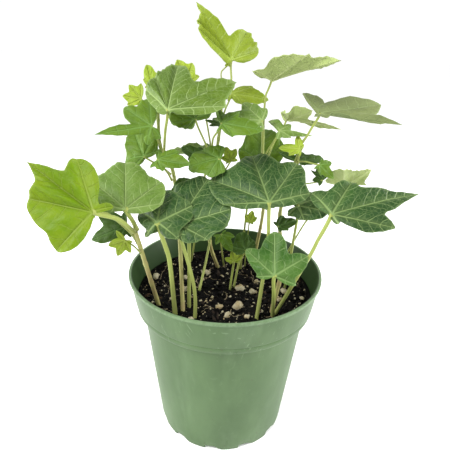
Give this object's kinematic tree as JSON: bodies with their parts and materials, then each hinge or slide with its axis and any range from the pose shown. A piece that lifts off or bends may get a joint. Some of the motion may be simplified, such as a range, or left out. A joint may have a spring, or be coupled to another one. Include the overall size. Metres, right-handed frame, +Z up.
{
  "type": "potted ivy",
  "caption": "Young ivy with lobed green leaves on long thin stalks, growing in a thin moulded plastic nursery pot with a deep collar, feet and drain holes.",
  "frame": {"origin": "centre of the pot's foot, on the plane the pot stands on", "axes": "+Z up, -Y towards the side the plant is seen from, +X to the right from that side"},
  "size_m": [0.1955, 0.1268, 0.2501],
  "materials": {
    "pot_plastic": "thin moulded plastic, soft sheen, light scuffs",
    "peat": "damp peat with perlite grains and fine roots",
    "stem_bark": "smooth pale green to tan shoot",
    "leaf_dark": "waxy dark green leaf with pale veins",
    "leaf_mid": "waxy mid green leaf",
    "leaf_light": "waxy light green leaf",
    "leaf_lime": "thin lime green leaf",
    "leaf_young": "soft yellow green young leaf"
  },
  "bodies": {
    "root": {"pot": "pot_plastic", "soil": "peat", "stem_left": "stem_bark", "stem_mid_left": "stem_bark", "stem_centre": "stem_bark", "stem_back": "stem_bark", "stem_right": "stem_bark", "leaf_front_right": "leaf_dark", "leaf_right_pointed": "leaf_dark", "leaf_left_lime": "leaf_lime", "leaf_left_round": "leaf_light", "leaf_front_left": "leaf_dark", "leaf_front_centre": "leaf_dark", "leaf_inner_shade": "leaf_dark", "leaf_right_low": "leaf_dark", "leaf_left_low": "leaf_dark", "leaf_left_back": "leaf_mid", "leaf_pot_front": "leaf_mid", "leaf_low_right": "leaf_dark", "leaf_low_centre": "leaf_dark", "young_leaf_fork": "leaf_young", "young_leaf_low": "leaf_mid", "young_leaf_back": "leaf_young", "young_leaf_left": "leaf_young", "leaf_inner_left": "leaf_mid", "leaf_inner_back": "leaf_light", "leaf_inner_mid": "leaf_dark", "leaf_inner_front": "leaf_mid", "leaf_behind_right": "leaf_dark", "young_leaf_right": "leaf_young", "leaf_right_small": "leaf_dark", "leaf_right_hanging": "leaf_mid", "leaf_right_inner": "leaf_dark", "leaf_right_underside": "leaf_light", "young_leaf_centre": "leaf_young", "leaf_upper_left": "leaf_mid", "leaf_upper_left_under": "leaf_mid", "leaf_left_tailed": "leaf_mid", "leaf_left_hanging": "leaf_mid", "leaf_top": "leaf_lime", "leaf_upper_right": "leaf_light", "leaf_right_twisted": "leaf_mid", "leaf_right_narrow": "leaf_light", "leaf_upper_centre_lime": "leaf_lime", "leaf_upper_centre": "leaf_light", "leaf_centre_dark": "leaf_dark", "leaf_centre_small": "leaf_dark", "leaf_centre_edge": "leaf_light", "young_leaf_side": "leaf_young", "young_leaf_crown_left": "leaf_young", "young_leaf_crown_right": "leaf_young", "young_leaf_bud": "leaf_young"}
  },
  "joints": []
}
